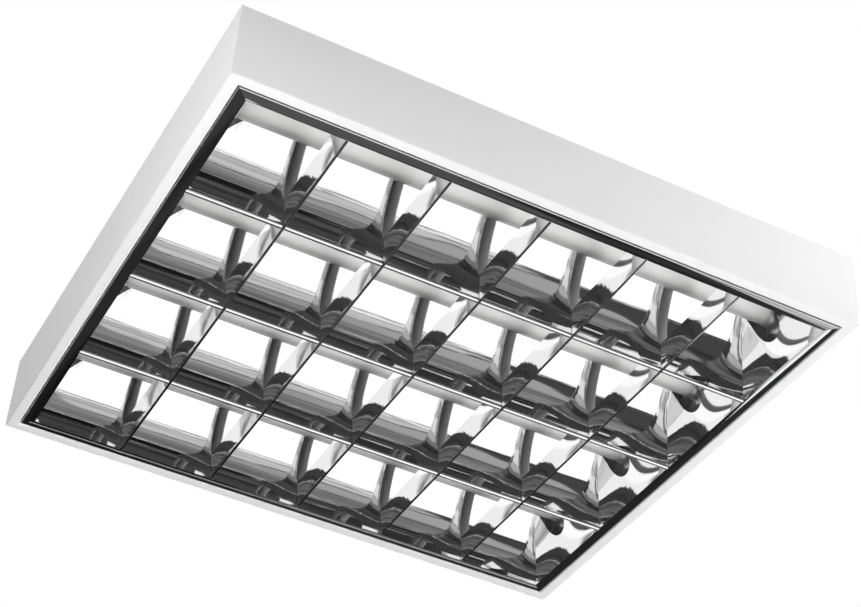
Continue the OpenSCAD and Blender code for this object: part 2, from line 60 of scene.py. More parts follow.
# %% Camera
MM = 0.001
EYE = Vector((-668.43, -1453.82, -1287.83)) * MM
VIEW_RIGHT = Vector((0.878748, -0.475204, 0.044540))
VIEW_UP = Vector((-0.329576, -0.536646, 0.776782))
PICTURE_W, PICTURE_H = 861, 607
FOCAL_PX = 2037.5
CENTRE_PX = (462.64, 312.06)
SENSOR_W = 36.0


def aim_camera():
    """Stand the camera where the photograph was taken from."""
    data = bpy.data.cameras.new("eye")
    data.sensor_width = SENSOR_W
    data.lens = FOCAL_PX * SENSOR_W / PICTURE_W
    data.shift_x = (PICTURE_W / 2 - CENTRE_PX[0]) / PICTURE_W
    data.shift_y = (CENTRE_PX[1] - PICTURE_H / 2) / PICTURE_W
    data.clip_start, data.clip_end = 0.05, 60
    camera = bpy.data.objects.new("eye", data)
    right = VIEW_RIGHT.normalized()
    up = (VIEW_UP - right * right.dot(VIEW_UP)).normalized()
    turn = Matrix((right, up, right.cross(up))).transposed()
    camera.matrix_world = Matrix.Translation(EYE) @ turn.to_4x4()
    bpy.context.collection.objects.link(camera)
    bpy.context.scene.camera = camera
    print("lens", round(data.lens, 1), "mm")


aim_camera()

# %% [markdown]
# ## Sizes
#
# The pieces are drawn in millimetres and scaled to metres when they are finished. The sizes are
# those of the engineering model. Only the rim of the housing is 0.7 mm narrower and the foot of
# a cross blade 0.3 mm thicker, as the photograph shows them. Levels count up from the plane of
# the rim, which is the lowest plane of the fixture.

# %% Sizes in millimetres
BODY_L, BODY_W, BODY_H = 640.0, 587.2, 83.0
SHEET = 1.0
RIM_W, LIP_H = 11.3, 4.0
CELL_X, CELL_Y = 296.0, 269.6
RAIL_OUT_X, RAIL_OUT_Y = 307.4, 281.0
RAIL_W, RAIL_H = 10.6, 8.0
MIRROR = 0.8
ROW_PITCH = 136.3
ROW_Y = [(i - 1.5) * ROW_PITCH for i in range(4)]
VEE_Y = [(i - 1) * ROW_PITCH for i in range(3)]
BLADE_PITCH = 100.7
BLADE_X = [(i - 2) * BLADE_PITCH for i in range(5)]
VEE_FOOT, VEE_LEAN, REFLECTOR_H = 3.0, 47.65, 65.0
BLADE_FOOT, BLADE_LEAN, BLADE_H = 1.3, 4.7, 25.0
END_LEAN, NOTCH_LEVEL, NOTCH_R = 32.0, 30.0, 17.5
LAMP_LEVEL, LAMP_L, TUBE_R = 60.0, 589.8, 13.0
GAP = 0.3
print("lamp rows at", [round(y, 2) for y in ROW_Y])

# %% [markdown]
# ## Shading helpers
#
# An effect that several finishes share is a node group, built once. "Grain" gives a fine
# mottle, a coarse one and a smooth swell of the object's own space, sized in millimetres, and
# "streaks" gives the long faint lines that rolling leaves in sheet metal. The shaders stay in
# the materials.


# %% Node groups
def new_group(name, inputs, outputs):
    """Start a shader node group with named float or vector sockets."""
    group = bpy.data.node_groups.new(name, "ShaderNodeTree")
    for socket, kind, value in inputs:
        made = group.interface.new_socket(socket, in_out="INPUT", socket_type=kind)
        if value is not None:
            made.default_value = value
    for socket in outputs:
        group.interface.new_socket(socket, in_out="OUTPUT", socket_type="NodeSocketFloat")
    return group, group.nodes.new("NodeGroupInput"), group.nodes.new("NodeGroupOutput")


def per_metre(group, size_mm, share=1.0):
    """Turn a size in millimetres into the scale of a noise, or into a share of that scale."""
    made = group.nodes.new("ShaderNodeMath")
    made.operation = "DIVIDE"
    made.inputs[0].default_value = share / MM
    group.links.new(size_mm, made.inputs[1])
    return made.outputs[0]


def make_grain_group():
    """Three mottles of the same space: a fine one, one eight times coarser, and a smooth swell."""
    group, start, end = new_group(
        "grain",
        [("Vector", "NodeSocketVector", None), ("Size mm", "NodeSocketFloat", 1.0)],
        ["Fine", "Coarse", "Swell"],
    )
    for name, share, detail in (("Fine", 1.0, 3.0), ("Coarse", 0.125, 3.0), ("Swell", 0.125, 0.3)):
        noise = group.nodes.new("ShaderNodeTexNoise")
        noise.inputs["Detail"].default_value = detail
        noise.inputs["Roughness"].default_value = 0.55
        group.links.new(start.outputs["Vector"], noise.inputs["Vector"])
        group.links.new(per_metre(group, start.outputs["Size mm"], share), noise.inputs["Scale"])
        group.links.new(noise.outputs["Fac"], end.inputs[name])
    return group


def make_streaks_group():
    """A mottle drawn out along one axis, by shrinking the space along that axis."""
    group, start, end = new_group(
        "streaks",
        [
            ("Vector", "NodeSocketVector", None),
            ("Stretch", "NodeSocketVector", (0.02, 1.0, 1.0)),
            ("Size mm", "NodeSocketFloat", 1.0),
        ],
        ["Lines"],
    )
    drawn = group.nodes.new("ShaderNodeVectorMath")
    drawn.operation = "MULTIPLY"
    noise = group.nodes.new("ShaderNodeTexNoise")
    noise.inputs["Detail"].default_value = 4
    group.links.new(start.outputs["Vector"], drawn.inputs[0])
    group.links.new(start.outputs["Stretch"], drawn.inputs[1])
    group.links.new(drawn.outputs[0], noise.inputs["Vector"])
    group.links.new(per_metre(group, start.outputs["Size mm"]), noise.inputs["Scale"])
    group.links.new(noise.outputs["Fac"], end.inputs["Lines"])
    return group


GRAIN = make_grain_group()
STREAKS = make_streaks_group()
print("node groups", [group.name for group in (GRAIN, STREAKS)])


# %% [markdown]
# A material is easier to read when its small steps have names. The class below starts a
# material with its Principled shader and object coordinates, and adds the few kinds of node
# that the finishes use, such as a range that turns a mottle into a roughness.


# %% A small material workbench
class Finish:
    """One material, with short names for the nodes that the finishes of this fixture use."""

    def __init__(self, name, **sockets):
        self.material = bpy.data.materials.new(name)
        self.material.use_nodes = True
        self.tree = self.material.node_tree
        self.shader = self.tree.nodes["Principled BSDF"]
        self.coords = self.tree.nodes.new("ShaderNodeTexCoord").outputs["Object"]
        for socket, value in sockets.items():
            self.shader.inputs[socket.replace("_", " ")].default_value = value

    def node(self, kind, **values):
        made = self.tree.nodes.new(kind)
        for key, value in values.items():
            setattr(made, key, value)
        return made

    def link(self, source, target):
        self.tree.links.new(source, target)

    def group(self, group, size, output, **values):
        made = self.node("ShaderNodeGroup", node_tree=group)
        made.inputs["Size mm"].default_value = size
        for key, value in values.items():
            made.inputs[key].default_value = value
        self.link(self.coords, made.inputs["Vector"])
        return made.outputs[output]

    def spread(self, source, low, high, start=0.3, end=0.7):
        """Map the middle of a mottle onto the range from low to high."""
        made = self.node("ShaderNodeMapRange")
        sockets = ("From Min", "From Max", "To Min", "To Max")
        for socket, value in zip(sockets, (start, end, low, high)):
            made.inputs[socket].default_value = value
        self.link(source, made.inputs["Value"])
        return made.outputs["Result"]

    def number(self, operation, source, value):
        """One sum with a source and a constant."""
        made = self.node("ShaderNodeMath", operation=operation)
        made.inputs[1].default_value = value
        self.link(source, made.inputs[0])
        return made

    def z_of(self, vector):
        made = self.node("ShaderNodeSeparateXYZ")
        self.link(vector, made.inputs[0])
        return made.outputs["Z"]

    def blend(self, mask, first, second):
        """Mix two colours by a mask."""
        made = self.node("ShaderNodeMix", data_type="RGBA")
        made.inputs[6].default_value = (*first, 1)
        made.inputs[7].default_value = (*second, 1)
        self.link(mask, made.inputs[0])
        return made.outputs[2]

    def colour(self, source):
        self.link(source, self.shader.inputs["Base Color"])
        return self

    def roughness(self, source):
        self.link(source, self.shader.inputs["Roughness"])
        return self

    def bump(self, height, depth_mm, strength=1.0):
        made = self.node("ShaderNodeBump")
        made.inputs["Strength"].default_value = strength
        made.inputs["Distance"].default_value = depth_mm * MM
        self.link(height, made.inputs["Height"])
        self.link(made.outputs["Normal"], self.shader.inputs["Normal"])
        return self


# %% [markdown]
# ## Finishes of the housing and the louvre
#
# White powder coat is a baked skin with a fine ripple, like orange peel, and a low sheen. The
# louvre is bright anodised aluminium: almost a mirror, with a very small blur, faint lines from
# rolling, which cross the reflections as hairlines, and a slow wave. The upper side of every
# sheet is the dull back of the coil, so the roughness asks the normal which side it is on.


# %% White paint and mirror sheet
BACK_NORMAL_Z, BACK_ROUGHNESS = 0.03, 0.42


def white_paint():
    """White powder coat: a fine ripple under a low sheen."""
    paint = Finish("white_powder_coat", Roughness=0.38)
    fine = paint.group(GRAIN, 1.1, "Fine")
    coarse = paint.group(GRAIN, 9.0, "Coarse")
    paint.colour(paint.blend(coarse, (0.80, 0.80, 0.80), (0.84, 0.84, 0.838)))
    paint.roughness(paint.spread(coarse, 0.33, 0.43))
    return paint.bump(fine, 0.012).material


def mirror_sheet(name, stretch, roll_depth, wave_depth):
    """Bright anodised sheet, with rolling lines and a slow wave in mm, and a dull back."""
    mirror = Finish(name, Metallic=1.0)
    lines = mirror.group(STREAKS, 3.4, "Lines", Stretch=stretch)
    wave = mirror.group(GRAIN, 9.0, "Swell")
    mirror.colour(mirror.blend(wave, (0.90, 0.90, 0.905), (0.94, 0.94, 0.94)))
    normal_z = mirror.z_of(mirror.node("ShaderNodeTexCoord").outputs["Normal"])
    back = mirror.number("GREATER_THAN", normal_z, BACK_NORMAL_Z)
    blur = mirror.node("ShaderNodeMapRange")
    mirror.link(back.outputs[0], blur.inputs["Value"])
    mirror.link(mirror.spread(lines, 0.02, 0.06), blur.inputs["To Min"])
    blur.inputs["To Max"].default_value = BACK_ROUGHNESS
    mirror.roughness(blur.outputs["Result"])
    height = mirror.number("MULTIPLY_ADD", lines, roll_depth / wave_depth)
    mirror.link(wave, height.inputs[2])
    return mirror.bump(height.outputs[0], wave_depth).material


WHITE_PAINT = white_paint()
ALONG, ACROSS = (0.015, 1.0, 1.0), (1.0, 0.015, 1.0)
MIRROR_LONG = mirror_sheet("bright_sheet_along", ALONG, 0.04, 0.6)
MIRROR_CROSS = mirror_sheet("bright_sheet_across", ACROSS, 0.012, 0.35)
RAIL_LONG = mirror_sheet("bright_sheet_rail_along", ALONG, 0.006, 0.02)
RAIL_CROSS = mirror_sheet("bright_sheet_rail_across", ACROSS, 0.006, 0.02)


# %% [markdown]
# ## Finishes of the small parts
#
# Galvanised steel shows a spangle, the crystals of its zinc, which a cell pattern draws well.
# Screws and springs have a thin bright plating. The caps of the lamps are drawn aluminium, so
# their fine lines run along the lamp.


# %% Metals
SPANGLES_PER_METRE = 190


def galvanised():
    """Zinc whose crystals differ a little in shade, blur and height."""
    zinc = Finish("galvanised_steel", Metallic=1.0)
    cells = zinc.node("ShaderNodeTexVoronoi")
    cells.inputs["Scale"].default_value = SPANGLES_PER_METRE
    zinc.link(zinc.coords, cells.inputs["Vector"])
    split = zinc.node("ShaderNodeSeparateColor")
    zinc.link(cells.outputs["Color"], split.inputs["Color"])
    zinc.colour(zinc.blend(split.outputs["Red"], (0.60, 0.61, 0.62), (0.74, 0.75, 0.76)))
    zinc.roughness(zinc.spread(split.outputs["Green"], 0.26, 0.42, 0.0, 1.0))
    return zinc.bump(split.outputs["Blue"], 0.004, 0.5).material


def plated():
    """A thin bright plating that is never quite even."""
    steel = Finish("bright_plated_steel", Metallic=1.0)
    fine = steel.group(GRAIN, 0.35, "Fine")
    coarse = steel.group(GRAIN, 1.2, "Coarse")
    steel.colour(steel.blend(coarse, (0.70, 0.70, 0.71), (0.80, 0.80, 0.80)))
    steel.roughness(steel.spread(fine, 0.18, 0.32))
    return steel.bump(fine, 0.003, 0.6).material


def cap_metal():
    """Drawn aluminium, with its lines along the lamp."""
    cap = Finish("drawn_aluminium", Metallic=1.0)
    lines = cap.group(STREAKS, 0.4, "Lines", Stretch=(1.0, 0.05, 0.05))
    cap.colour(cap.blend(lines, (0.84, 0.84, 0.85), (0.92, 0.92, 0.92)))
    cap.roughness(cap.spread(lines, 0.36, 0.5))
    return cap.bump(lines, 0.004, 0.5).material


GALVANISED = galvanised()
PLATED = plated()
CAP_METAL = cap_metal()


# %% [markdown]
# The lampholders, terminals and sleeves are moulded or extruded plastic, whose surface is a soft
# fine ripple. The sleeve of the earth lead is green above and yellow below. The circuit board's
# tracks stand up a little under its green mask. A lamp is a clear glass tube with white powder
# inside, under a glossy skin. Its body is painted a mid grey, far darker than white powder, as
# painted shade for the shadow that the tubes lie in inside the louvre.


# %% Plastics, rubber, sleeves and glass
EARTH_AXIS_Z = -2.5
TRACKS_PER_METRE, TRACK_GAP = 260, 0.06


def moulded(name, light, dark, low=0.42, high=0.55, grain=0.5, depth=0.01):
    """Plastic or rubber in two close shades, with a fine ripple of a size and depth in mm."""
    plastic = Finish(name)
    fine = plastic.group(GRAIN, grain, "Fine")
    coarse = plastic.group(GRAIN, grain * 4, "Coarse")
    plastic.colour(plastic.blend(coarse, dark, light))
    plastic.roughness(plastic.spread(coarse, low, high))
    return plastic.bump(fine, depth, 0.6).material


def earth_sleeve():
    """Green above the axis of the lead and yellow below it."""
    sleeve = Finish("earth_sleeve")
    upper = sleeve.number("GREATER_THAN", sleeve.z_of(sleeve.coords), EARTH_AXIS_Z * MM)
    sleeve.colour(sleeve.blend(upper.outputs[0], (0.72, 0.66, 0.05), (0.05, 0.30, 0.09)))
    sleeve.roughness(sleeve.spread(sleeve.group(GRAIN, 0.8, "Fine"), 0.25, 0.36))
    return sleeve.material


def board_mask():
    """A green mask over tracks that stand up a little."""
    board = Finish("solder_mask")
    tracks = board.node("ShaderNodeTexBrick")
    tracks.inputs["Scale"].default_value = TRACKS_PER_METRE
    tracks.inputs["Mortar Size"].default_value = TRACK_GAP
    tracks.inputs["Color1"].default_value = (0.02, 0.13, 0.06, 1)
    tracks.inputs["Color2"].default_value = (0.03, 0.17, 0.08, 1)
    tracks.inputs["Mortar"].default_value = (0.05, 0.25, 0.12, 1)
    board.link(board.coords, tracks.inputs["Vector"])
    board.colour(tracks.outputs["Color"])
    board.roughness(board.spread(board.group(GRAIN, 1.0, "Coarse"), 0.3, 0.4))
    return board.bump(tracks.outputs["Fac"], 0.03, 0.6).material


def lamp_glass():
    """White powder behind clear glass, under a glossy skin; the body's mid grey is painted shade.
    """
    glass = Finish("coated_lamp_glass", Specular_IOR_Level=0.5)
    powder = glass.group(GRAIN, 1.5, "Fine")
    cloud = glass.group(GRAIN, 12.0, "Coarse")
    # Painted shade: the body is mid grey, not white, to stand in for the shadow inside the louvre.
    glass.colour(glass.blend(cloud, (0.33, 0.33, 0.327), (0.37, 0.37, 0.366)))
    glass.roughness(glass.spread(powder, 0.06, 0.10))
    return glass.material


WHITE_PLASTIC = moulded("white_moulding", (0.82, 0.82, 0.80), (0.78, 0.78, 0.76))
IVORY_PLASTIC = moulded("ivory_moulding", (0.72, 0.68, 0.55), (0.66, 0.62, 0.50))
BLACK_RUBBER = moulded("black_rubber", (0.035, 0.035, 0.035), (0.02, 0.02, 0.02),
                       low=0.6, high=0.75, grain=0.8)
WHITE_SLEEVE = moulded("white_sleeve", (0.80, 0.80, 0.78), (0.74, 0.74, 0.72),
                       low=0.24, high=0.36, grain=0.9, depth=0.004)
EARTH_SLEEVE = earth_sleeve()
SOLDER_MASK = board_mask()
LAMP_GLASS = lamp_glass()
print(len(bpy.data.materials), "materials")

# %% [markdown]
# ## From a drawn mesh to a piece
#
# Every new piece is drawn in millimetres with bmesh, then turned into metres, given its finish,
# and tied to the body of the model that carries it. Faces meet softly wherever the angle
# between them is small, so a curved sheet looks curved and a cut edge stays sharp.

# %% Piece maker
SHARP_ANGLE = math.radians(32)
SAME_POINT = 0.0005
DOWN, UP = Vector((0, 0, -1)), Vector((0, 0, 1))
made_anew = set()
MIRROR_X = Matrix.Scale(-1, 4, (1, 0, 0))
MIRROR_Y = Matrix.Scale(-1, 4, (0, 1, 0))
LEFT_RIGHT = {"left": Matrix.Identity(4), "right": MIRROR_X}
NEAR_FAR = {"near": Matrix.Identity(4), "far": MIRROR_Y}


def add_piece(name, bm, body, material, node):
    """Finish a mesh drawn in millimetres as a piece that stands for a node of the model."""
    bmesh.ops.remove_doubles(bm, verts=bm.verts, dist=SAME_POINT)
    bmesh.ops.scale(bm, vec=Vector((MM, MM, MM)), verts=bm.verts)
    for face in bm.faces:
        face.smooth = True
    mesh = bpy.data.meshes.new(name)
    bm.to_mesh(mesh)
    bm.free()
    mesh.set_sharp_from_angle(angle=SHARP_ANGLE)
    mesh.materials.append(material)
    piece = bpy.data.objects.new(name, mesh)
    bpy.context.collection.objects.link(piece)
    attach(piece, body)
    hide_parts(node)
    made_anew.add(node)
    print(name, len(mesh.polygons), "faces")
    return piece


def join(*parts):
    """Put several bmeshes into the first one."""
    first = parts[0]
    for part in parts[1:]:
        holder = bpy.data.meshes.new("part")
        part.to_mesh(holder)
        part.free()
        first.from_mesh(holder)
        bpy.data.meshes.remove(holder)
    return first


def turned(bm, matrix):
    """Move a bmesh by a matrix, and turn its faces outwards again if that mirrored it."""
    bmesh.ops.transform(bm, matrix=matrix, verts=bm.verts)
    if matrix.determinant() < 0:
        bmesh.ops.reverse_faces(bm, faces=bm.faces)
    return bm


def facing(bm, direction):
    """Turn the faces of a sheet over unless they mostly look along a direction."""
    bm.normal_update()
    if sum(face.normal.dot(direction) * face.calc_area() for face in bm.faces) < 0:
        bmesh.ops.reverse_faces(bm, faces=bm.faces)
    return bm


def walled(bm, thickness):
    """Give a sheet its thickness, behind the drawn face."""
    bmesh.ops.remove_doubles(bm, verts=bm.verts, dist=SAME_POINT)
    bmesh.ops.solidify(bm, geom=bm.faces[:], thickness=thickness)
    return bm


# %% [markdown]
# ## Folded and curved sheets
#
# Nearly everything on this fixture is folded from sheet, and a folded sheet is a grid whose
# rows follow the fold line by line. So one helper makes a flat grid and moves its vertex in
# column i and row j to a place that a small function gives. The sheet gets its thickness after
# that. A folded corner is an arc of a few rows.


# %% Sheet maker
def bent_sheet(columns, rows, place):
    """A grid of columns by rows vertices, each moved to place(column, row)."""
    bm = bmesh.new()
    made = bmesh.ops.create_grid(bm, x_segments=columns - 1, y_segments=rows - 1, size=1)
    for k, vert in enumerate(made["verts"]):
        vert.co = place(k % columns, k // columns)
    return bm


def arc(centre, radius, start, end, steps=5):
    """Points of an arc in a plane, with angles in degrees."""
    points = []
    for k in range(steps + 1):
        turn = math.radians(start + (end - start) * k / steps)
        points.append((centre[0] + radius * math.cos(turn), centre[1] + radius * math.sin(turn)))
    return points


# %% [markdown]
# ## The housing
#
# The housing is a shallow steel tray: a ceiling sheet whose two long edges fold down into
# walls, in again as the white rim that shows around the louvre, and up as a short lip. Two end
# plates close it. The fold line below runs from the ceiling to the lip, with d counting inwards
# from the outside of the wall. The rim is mitred, so the further in a row lies, the shorter it
# is. The ceiling sheet has holes, which a triangle fill leaves open between closed edge loops.

# %% Housing shell
BEND_R = 1.5
INSIDE_X = BODY_L / 2 - SHEET
FIXING_X, FIXING_R = 220.0, 3.0
GROMMET_X, GROMMET_HOLE_R = -223.0, 10.0
GEAR_SCREW_X, SCREW_HOLE_R = 137.0, 2.1
EARTH_SCREW = (-199.0, 26.0)
RIVET_X, RIVET_HOLE_R = 312.0, 1.7
RIVET_Y = [share * BODY_W / 2 for share in (-0.82, -0.34, 0.34, 0.82)]
HOLE_STEPS, SMALL_HOLE_STEPS = 32, 24


def wall_to_lip(top):
    """The fold line (d, level) from the wall's top down to the rim, and up the lip."""
    line = [(0.0, top)] + arc((BEND_R, BEND_R), BEND_R, 180, 270)
    line += arc((RIM_W - BEND_R, BEND_R), BEND_R, 270, 360)
    return line + [(RIM_W, LIP_H)]


def folded_side(line, out, half, corner):
    """A sheet along X at y = -out that follows a fold line, mitred in its lower half."""
    def place(column, row):
        d, level = line[row]
        end = min(half, corner - d) if level < BODY_H / 2 else half
        return ((end if column else -end), d - out, level - BODY_H)

    return bent_sheet(2, len(line), place)


def long_side():
    """The near long side, from its bend at the ceiling to its lip."""
    line = arc((BEND_R, BODY_H - BEND_R), BEND_R, 90, 180)[:-1]
    line += wall_to_lip(BODY_H - BEND_R)
    return facing(folded_side(line, BODY_W / 2, INSIDE_X, BODY_L / 2), Vector((0, -1, 0)))


def holed_plate(x0, x1, half_y, z, holes, steps):
    """A flat plate that looks up, with round holes at (x, y, radius)."""
    bm = bmesh.new()
    corners = [bm.verts.new((x, y, z)) for x, y in (
        (x0, -half_y), (x1, -half_y), (x1, half_y), (x0, half_y))]
    edges = [bm.edges.new((corners[k], corners[k - 1])) for k in range(4)]
    for x, y, radius in holes:
        ring = bmesh.ops.create_circle(
            bm, segments=steps, radius=radius, matrix=Matrix.Translation((x, y, z)))
        edges += dict.fromkeys(edge for vert in ring["verts"] for edge in vert.link_edges)
    bmesh.ops.triangle_fill(bm, use_beauty=True, edges=edges, normal=UP)
    return facing(bm, UP)


holes = [(x, y, FIXING_R) for x in (-FIXING_X, FIXING_X) for y in (VEE_Y[0], VEE_Y[2])]
holes += [(x, 0, SCREW_HOLE_R) for x in (-GEAR_SCREW_X, GEAR_SCREW_X)]
holes += [(*EARTH_SCREW, SCREW_HOLE_R), (GROMMET_X, 0, GROMMET_HOLE_R)]
holes += [(x, y, RIVET_HOLE_R) for x in (-RIVET_X, RIVET_X) for y in RIVET_Y]
shell = join(
    holed_plate(-INSIDE_X, INSIDE_X, BODY_W / 2 - BEND_R, 0, holes, HOLE_STEPS),
    long_side(), turned(long_side(), MIRROR_Y))
add_piece("housing_shell", walled(shell, SHEET), "housing", WHITE_PAINT,
          "housing_pan")

# %% [markdown]
# The end plates fold the same way, across the fixture. Each has a flange under the ceiling
# sheet, where four rivets hold it.

# %% End plates
FLANGE_W = 14.0
QUARTER = Matrix.Rotation(math.radians(-90), 4, "Z")


def end_cover():
    """The left end plate: wall, rim and lip, and the riveted flange."""
    side = folded_side(wall_to_lip(BODY_H), BODY_L / 2, BODY_W / 2, BODY_W / 2)
    wall = walled(facing(turned(side, QUARTER), Vector((-1, 0, 0))), SHEET)
    flange = holed_plate(-INSIDE_X, FLANGE_W - INSIDE_X, BODY_W / 2 - SHEET, -SHEET,
                         [(-RIVET_X, y, RIVET_HOLE_R) for y in RIVET_Y], SMALL_HOLE_STEPS)
    return join(wall, walled(flange, SHEET))


for side, matrix in LEFT_RIGHT.items():
    add_piece(f"end_cover_{side}", turned(end_cover(), matrix), "housing",
              WHITE_PAINT, f"end_plate_{side}")

# %% [markdown]
# ## The louvre's frame
#
# Four mirror rails frame the louvre, mitred at the corners. Each folds up at its outer edge
# into a low wall. The far rail shows a fine seam, where the flange of the side reflector lies
# against the frame, so its fold line dips there.

# %% Rails
RAIL_BEND_R, RAIL_BEND_STEPS = 0.9, 6
SEAM_D, SEAM_HALF, SEAM_DEPTH = 6.9, 0.5, 0.3


def cut_away(sheet, gone):
    """Delete the faces of a sheet that a test of their middle's x and z picks out."""
    middles = [(face, face.calc_center_median()) for face in sheet.faces]
    faces = [face for face, middle in middles if gone(middle.x, middle.z)]
    bmesh.ops.delete(sheet, geom=faces, context="FACES")


def rail_line(seam):
    """The fold line (d, level) of a rail, from its wall's top to its inner edge."""
    line = [(0.0, RAIL_H)]
    line += arc((RAIL_BEND_R, RAIL_BEND_R), RAIL_BEND_R, 180, 270, RAIL_BEND_STEPS)
    if seam:
        line += [(SEAM_D - SEAM_HALF, 0.0), (SEAM_D, SEAM_DEPTH), (SEAM_D + SEAM_HALF, 0.0)]
    return line + [(RAIL_W, 0.0)]


def rail(half, out, seam, cuts=()):
    """A rail along X at y = -out, mitred at its ends. Its wall is left open at the cuts."""
    line = rail_line(seam)
    stops = [-half] + [edge for cut in cuts for edge in cut] + [half]

    def place(column, row):
        d, level = line[row]
        x = stops[column]
        if column in (0, len(stops) - 1):
            x = math.copysign(half - d, x)
        return (x, d - out, level - BODY_H)

    sheet = bent_sheet(len(stops), len(line), place)
    cut_away(sheet, lambda x, z: z > RAIL_BEND_R - BODY_H and any(a < x < b for a, b in cuts))
    return walled(facing(sheet, DOWN), MIRROR)


STRAP_CUT = 2.8
left_cuts = [(y - STRAP_CUT, y + STRAP_CUT) for y in (-VEE_Y[2], -VEE_Y[0])]
rails = {
    "near": rail(RAIL_OUT_X, RAIL_OUT_Y, False),
    "far": turned(rail(RAIL_OUT_X, RAIL_OUT_Y, True), MIRROR_Y),
    "left": turned(rail(RAIL_OUT_Y, RAIL_OUT_X, False, left_cuts), QUARTER),
    "right": turned(rail(RAIL_OUT_Y, RAIL_OUT_X, False), QUARTER.inverted()),
}
for side, bm in rails.items():
    add_piece(f"rail_strip_{side}", bm, "louvre",
              RAIL_LONG if side in ("near", "far") else RAIL_CROSS, f"rail_{side}")

# %% [markdown]
# ## The curved reflectors
#
# Between the lamps stand folded reflectors with two parabolic flanks. A parabola throws the
# light of the lamp straight down, which is why the lamp can't be seen from the side. Each row
# of the grid below is one level of the flank, and its round bottom is an arc that runs into the
# flank without a kink. The cross blades pass through slots: the two columns beside a slot
# follow the blade's outline, and the faces between them are deleted.

# %% Flanks and slots
FLANK_STEPS, FOOT_STEPS, ROUNDS = 44, 8, 8
CROWDED = 0.35 * REFLECTOR_H / FLANK_STEPS
SLOT_TOP = BLADE_H + GAP
MIRROR_HALF_L = CELL_X + MIRROR


def flank_out(level):
    """How far a flank stands out from the middle of its reflector at a level."""
    return VEE_FOOT + VEE_LEAN * (level / REFLECTOR_H) ** 2


def flank_angle(level):
    """The lean of a flank from the vertical at a level, in radians."""
    return math.atan(2 * VEE_LEAN * level / REFLECTOR_H ** 2)


def round_foot():
    """Radius and top level of the round bottom that runs smoothly into the flanks."""
    radius = VEE_FOOT
    for _ in range(ROUNDS):
        level = radius * (1 - math.sin(flank_angle(radius)))
        radius = flank_out(level) / math.cos(flank_angle(level))
    return radius, level


def flank_line():
    """Points (out, level) from the middle of the round bottom up to the top of one flank.

    One of the levels is the top of the slots, and a level that would crowd it is left out.
    """
    radius, start = round_foot()
    line = arc((0, radius), radius, -90, -math.degrees(flank_angle(start)), FOOT_STEPS)[:-1]
    levels = [start + (REFLECTOR_H - start) * k / FLANK_STEPS for k in range(FLANK_STEPS + 1)]
    levels = [level for level in levels if abs(level - SLOT_TOP) > CROWDED] + [SLOT_TOP]
    return line + [(flank_out(level), level) for level in sorted(levels)]


def slot_half(level):
    """Half width of the slot that a cross blade passes through."""
    return BLADE_FOOT + GAP + BLADE_LEAN * (level / SLOT_TOP) ** 2


def slotted(line, look):
    """A sheet along X that follows a line of (y, level), with the blades' slots cut in it."""
    columns = 2 * len(BLADE_X) + 2

    def place(column, row):
        y, level = line[row]
        if column in (0, columns - 1):
            x = MIRROR_HALF_L if column else -MIRROR_HALF_L
        else:
            side = -1 if column % 2 else 1
            x = BLADE_X[(column - 1) // 2] + side * slot_half(min(level, SLOT_TOP))
        return (x, y, level - BODY_H)

    sheet = bent_sheet(columns, len(line), place)
    cut_away(sheet, lambda x, z: z < SLOT_TOP - BODY_H
             and any(abs(x - blade_x) < BLADE_FOOT for blade_x in BLADE_X))
    return facing(sheet, look)


half_vee = flank_line()
vee_line = [(-y, level) for y, level in reversed(half_vee)] + half_vee[1:]
for i, y in enumerate(VEE_Y, 1):
    sheet = slotted(vee_line, DOWN)
    bmesh.ops.translate(sheet, vec=(0, y, 0), verts=sheet.verts)
    add_piece(f"row_mirror_{i}", walled(sheet, MIRROR), "louvre",
              MIRROR_LONG, f"row_reflector_{i}")

# %% [markdown]
# The two side reflectors are one flank each. They start at the inner edge of the long rails.

# %% Side reflectors
INWARDS = Vector((0, 1, -0.2))
side_line = [(-CELL_Y, 0.0)]
side_line += [(-CELL_Y + y - VEE_FOOT, level) for y, level in half_vee[FOOT_STEPS:]]
for side, matrix in NEAR_FAR.items():
    sheet = turned(slotted(side_line, INWARDS), matrix)
    add_piece(f"side_mirror_{side}", walled(sheet, MIRROR), "louvre",
              MIRROR_LONG, f"side_reflector_{side}")

# %% [markdown]
# At both ends of each row stands an end reflector, notched for the lamp. Its left half is drawn
# from the notch out to the neighbouring flanks and then mirrored. Below the notch the inner
# edge is the middle line, and the mirrored halves join there.

# %% End reflectors
END_COLUMNS, LOW_STEPS, NOTCH_STEPS, TOP_STEPS = 9, 22, 14, 10
TINY_EDGE = 0.001


def end_mirror_half():
    """Half of one end reflector, about its own row, standing at x = 0 and leaning to +x."""
    centre = NOTCH_LEVEL + NOTCH_R
    levels = [NOTCH_LEVEL * k / LOW_STEPS for k in range(LOW_STEPS)]
    levels += [centre - NOTCH_R * math.cos(math.radians(90 * k / NOTCH_STEPS))
               for k in range(NOTCH_STEPS + 1)]
    levels += [centre + (REFLECTOR_H - centre) * k / TOP_STEPS for k in range(1, TOP_STEPS + 1)]

    def place(column, row):
        level = levels[row]
        outer = ROW_PITCH / 2 - GAP - flank_out(level)
        inner = 0.0
        if level > NOTCH_LEVEL:
            drop = max(centre - level, 0.0)
            inner = math.sqrt(max(NOTCH_R ** 2 - drop ** 2, 0.0))
        inner = min(inner, outer)
        y = inner + (outer - inner) * column / (END_COLUMNS - 1)
        return (END_LEAN * (level / REFLECTOR_H) ** 2, y, level - BODY_H)

    return bent_sheet(END_COLUMNS, len(levels), place)


